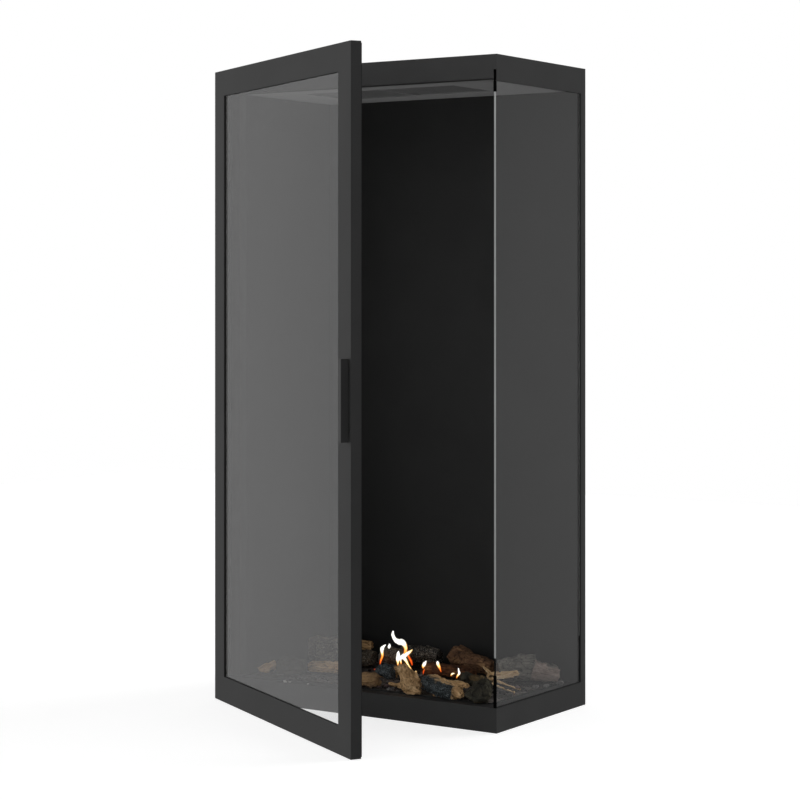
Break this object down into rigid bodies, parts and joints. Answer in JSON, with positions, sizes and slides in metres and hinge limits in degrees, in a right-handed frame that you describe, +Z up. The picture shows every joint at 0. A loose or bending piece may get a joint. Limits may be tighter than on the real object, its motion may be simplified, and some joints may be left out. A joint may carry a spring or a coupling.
{
  "type": "corner fireplace",
  "caption": "Tall slim corner gas fireplace with a hinged full-height glass door, a glass side, a ceramic log set over a burner tray and a concentric flue outlet on top.",
  "frame": {"origin": "middle of the casing's base, on the floor", "axes": "+Z up, front with the door is -Y, the glass side is +X"},
  "size_m": [0.6454, 0.6849, 1.265],
  "materials": {
    "powder_coated_steel": "fine matt black powder coat",
    "chamber_lining": "heat-proof matt black enamel",
    "ceiling_steel": "heat-proof dark grey paint",
    "grille_steel": "perforated sheet, heat-proof black",
    "bare_steel": "zinc plated",
    "brass": "turned and drawn",
    "ceramic_glass": "clear ceramic glass",
    "seal": "black heat-proof seal",
    "black_clip": "black",
    "handle_black": "satin black",
    "insulator": "glazed",
    "embers": "loose chips and ash",
    "charred_bark": "moulded ceramic fibre, painted as charred bark",
    "split_wood": "moulded ceramic fibre, painted as split wood"
  },
  "bodies": {
    "casing": {"base_pan": "bare_steel", "front_sill": "powder_coated_steel", "side_sill": "powder_coated_steel", "front_header": "powder_coated_steel", "side_header": "powder_coated_steel", "front_left_post": "powder_coated_steel", "rear_corner_post": "powder_coated_steel", "left_side_panel": "powder_coated_steel", "rear_panel": "powder_coated_steel", "top_cover": "powder_coated_steel", "back_liner": "chamber_lining", "left_liner": "chamber_lining", "ceiling_plate": "ceiling_steel", "ceiling_grille_left": "grille_steel", "ceiling_grille_right": "grille_steel", "exhaust_plenum": "bare_steel", "flue_inner_spigot": "bare_steel", "flue_outer_spigot": "bare_steel", "side_glass": "ceramic_glass", "side_glass_seals": "seal", "side_glass_clip": "black_clip", "glass_setting_blocks": "seal", "hearth_plate": "chamber_lining", "burner_tray": "chamber_lining", "burner_tube": "bare_steel", "gas_pipe": "brass", "gas_inlet": "brass", "ignition_electrodes": "insulator", "ember_bed": "embers", "log_front_left": "split_wood", "log_front_fork": "split_wood", "log_front_centre": "charred_bark", "log_front_right": "charred_bark", "log_right_fork": "split_wood", "log_sticks": "split_wood", "log_back_right": "charred_bark", "log_right_end": "charred_bark", "log_back_centre": "charred_bark", "log_middle": "charred_bark", "log_back_left": "charred_bark", "log_far_left": "charred_bark", "log_left_split": "split_wood", "log_left_bark": "charred_bark", "log_left_centre": "split_wood", "casing_hinge_leaves": "bare_steel", "hinge_pins": "bare_steel", "casing_screws": "bare_steel"},
    "door": {"door_top_rail": "powder_coated_steel", "door_bottom_rail": "powder_coated_steel", "door_hinge_stile": "powder_coated_steel", "door_lock_stile": "powder_coated_steel", "door_glass": "ceramic_glass", "door_glass_seal": "seal", "door_glass_retainers": "bare_steel", "door_screws": "bare_steel", "door_gasket": "seal", "door_handle": "handle_black", "door_hinge_leaves": "bare_steel", "catch_magnets": "bare_steel"}
  },
  "joints": [
    {"name": "door_hinge", "type": "hinge", "parent": "casing", "child": "door", "pos_m": [-0.312, -0.178, 0.625], "axis": [0, 0, -1], "range_deg": [-30, 60]}
  ]
}
